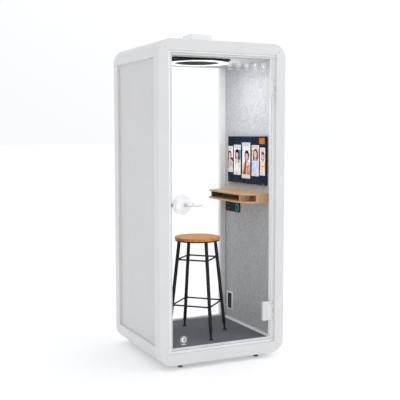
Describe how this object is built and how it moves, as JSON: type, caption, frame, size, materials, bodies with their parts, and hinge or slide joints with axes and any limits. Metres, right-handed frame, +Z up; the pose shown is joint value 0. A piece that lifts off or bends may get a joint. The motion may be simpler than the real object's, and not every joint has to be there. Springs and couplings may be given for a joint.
{
  "type": "photo booth",
  "caption": "Single-person photo booth: white rounded steel shell, glass door with lever lock, glass back, felt walls, wall display, oak shelf, ring lamp, roof fan and stool.",
  "frame": {"origin": "middle of the footprint at floor level, the outer door lever counted in the footprint", "axes": "+Z up; -Y is the front with the door; +X is the hinge side and the wall with the display and shelf"},
  "size_m": [1, 0.952, 2.388],
  "materials": {
    "shell_white": "satin powder coat",
    "panel_white": "satin powder coat",
    "jamb_white": "satin powder coat",
    "zinc_steel": "galvanised",
    "felt_grey": "pressed polyester felt",
    "core_board": "sound-absorbing fibre board",
    "deck_ply": "plywood",
    "mat_grey": "ribbed carpet mat",
    "trim_light": "satin",
    "gasket_black": "matt",
    "seal_grey": "matt",
    "clear_glass": "clear toughened glass",
    "white_plastic": "satin",
    "black_plastic": "fine texture",
    "lever_grey": "satin anodised",
    "bolt_steel": "brushed",
    "lamp_black": "satin",
    "lamp_opal": "opal diffuser",
    "screen_black": "glossy",
    "oak": "light oak, lacquered",
    "seat_wood": "warm lacquered wood",
    "black_steel": "black powder coat",
    "pad_black": "matt",
    "cap_black": "gloss",
    "ring_teal": "lit light guide"
  },
  "bodies": {
    "booth": {"front_frame": "shell_white", "rear_frame": "shell_white", "roof_panel": "shell_white", "base_panel": "shell_white", "side_panel_left": "panel_white", "side_panel_right": "panel_white", "base_rails": "zinc_steel", "levelling_feet": "pad_black", "frame_screws": "zinc_steel", "felt_wall_right": "felt_grey", "felt_wall_left": "felt_grey", "wall_cores": "core_board", "floor_deck": "deck_ply", "floor_mat": "mat_grey", "ceiling_panel": "trim_light", "skirting_strips": "trim_light", "door_frame": "jamb_white", "frame_gasket": "gasket_black", "door_seal": "seal_grey", "strike_plate": "bolt_steel", "hinge_leaves": "jamb_white", "rear_window_frame": "jamb_white", "rear_glass": "clear_glass", "lamp_housing": "lamp_black", "lamp_diffuser": "lamp_opal", "roof_vent_hood": "shell_white", "fan_frame": "black_plastic", "display_housing": "black_plastic", "display_screen": "screen_black", "camera_module": "black_plastic", "computer_unit": "lamp_black", "shelf_top": "oak", "shelf_bottom": "oak", "shelf_divider": "oak", "shelf_back_and_end": "oak", "shelf_corner_block": "oak", "button_module": "black_plastic", "button_ring": "ring_teal", "socket_module": "black_plastic", "usb_module": "black_plastic", "vent_frame": "white_plastic", "vent_grille": "black_plastic", "power_inlet": "black_plastic"},
    "door": {"door_glass": "clear_glass", "lock_roses": "white_plastic", "lock_case_outer": "white_plastic", "lock_case_inner": "white_plastic", "hinge_wings": "jamb_white", "hinge_back_plates": "jamb_white"},
    "lever": {"lever_outer": "lever_grey", "lever_inner": "lever_grey"},
    "latch": {"latch_bolt": "bolt_steel"},
    "button": {"start_button": "cap_black"},
    "fan": {"fan_rotor": "black_plastic"},
    "stool": {"stool_seat": "seat_wood", "stool_rim": "black_steel", "stool_legs": "black_steel", "stool_foot_pads": "pad_black", "stool_footrest_upper": "black_steel", "stool_footrest_lower": "black_steel"}
  },
  "joints": [
    {"name": "door_hinge", "type": "hinge", "parent": "booth", "child": "door", "pos_m": [0.41, -0.404, 1.1685], "axis": [0, 0, 1], "range_deg": [0, 90]},
    {"name": "lever_turn", "type": "hinge", "parent": "door", "child": "lever", "pos_m": [-0.3, -0.404, 1.162], "axis": [0, 1, 0], "range_deg": [0, 45], "stiffness_Nm_per_rad": 1.2},
    {"name": "latch_slide", "type": "slide", "parent": "door", "child": "latch", "axis": [1, 0, 0], "range_m": [0, 0.0121]},
    {"name": "start_press", "type": "slide", "parent": "booth", "child": "button", "axis": [1, 0, 0], "range_m": [0, 0.002], "stiffness_N_per_m": 900},
    {"name": "fan_spin", "type": "hinge", "parent": "booth", "child": "fan", "pos_m": [0, 0.021, 2.28], "axis": [0, 0, 1], "continuous": true},
    {"name": "stool_lift", "type": "slide", "parent": "booth", "child": "stool", "axis": [0, 0, 1], "range_m": [0, 0.25]}
  ],
  "couplings": [
    {"joint": "latch_slide", "follows": "lever_turn", "m_per_rad": 0.015279}
  ]
}
